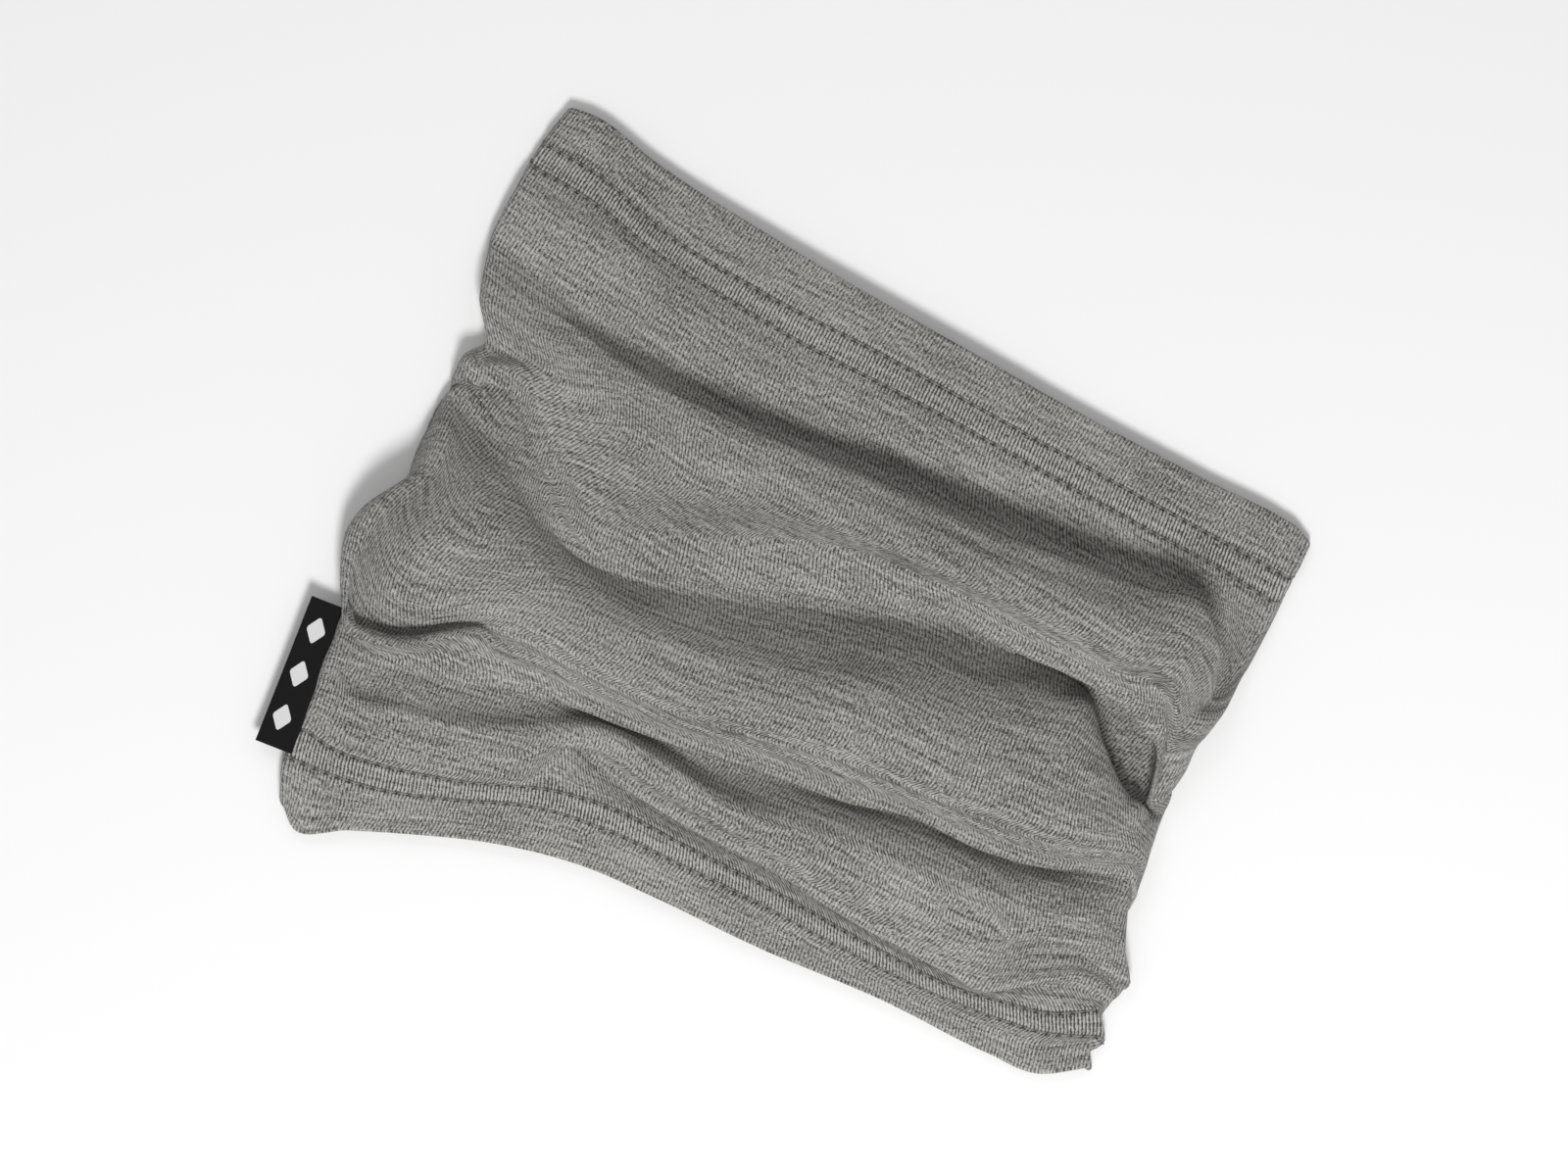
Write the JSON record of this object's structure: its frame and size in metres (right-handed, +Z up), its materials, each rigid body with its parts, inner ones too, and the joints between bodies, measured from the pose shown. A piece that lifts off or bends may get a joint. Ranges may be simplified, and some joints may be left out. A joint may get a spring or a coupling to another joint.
{
  "type": "neck gaiter",
  "caption": "Soft knitted tube worn round the neck, hemmed at both ends with twin stitching, with a small ribbon tab in its side seam, lying flat and bunched.",
  "frame": {"origin": "middle of the footprint of the laid gaiter, on the surface it lies on", "axes": "+X across the tube along its top hem, away from the seamed side; +Y along the tube towards the top hem; +Z up off the surface it lies on"},
  "size_m": [0.254, 0.206, 0.0302],
  "materials": {
    "merino_jersey": "heathered grey fine-gauge knitted jersey, matt",
    "sewing_thread": "grey spun sewing thread, matt",
    "label_ribbon": "black damask-woven ribbon, slight sheen",
    "label_white_weft": "white weft woven into the ribbon",
    "care_satin": "white satin ribbon, blank"
  },
  "bodies": {
    "gaiter": {"bottom_hem_inner_needle_thread": "sewing_thread", "bottom_hem_looper_thread": "sewing_thread", "bottom_hem_outer_needle_thread": "sewing_thread", "care_label": "care_satin", "fabric_tube": "merino_jersey", "side_seam_looper_thread": "sewing_thread", "side_seam_needle_thread": "sewing_thread", "top_hem_inner_needle_thread": "sewing_thread", "top_hem_looper_thread": "sewing_thread", "top_hem_outer_needle_thread": "sewing_thread"},
    "label_tab": {"side_label": "label_ribbon", "side_label_marks": "label_white_weft"}
  },
  "joints": [
    {"name": "label_swing", "type": "hinge", "parent": "gaiter", "child": "label_tab", "pos_m": [-0.10804, -0.06711, 0.005], "axis": [-0.1571, 0.9876, 0], "range_deg": [-15, 100], "stiffness_Nm_per_rad": 0.0003}
  ]
}
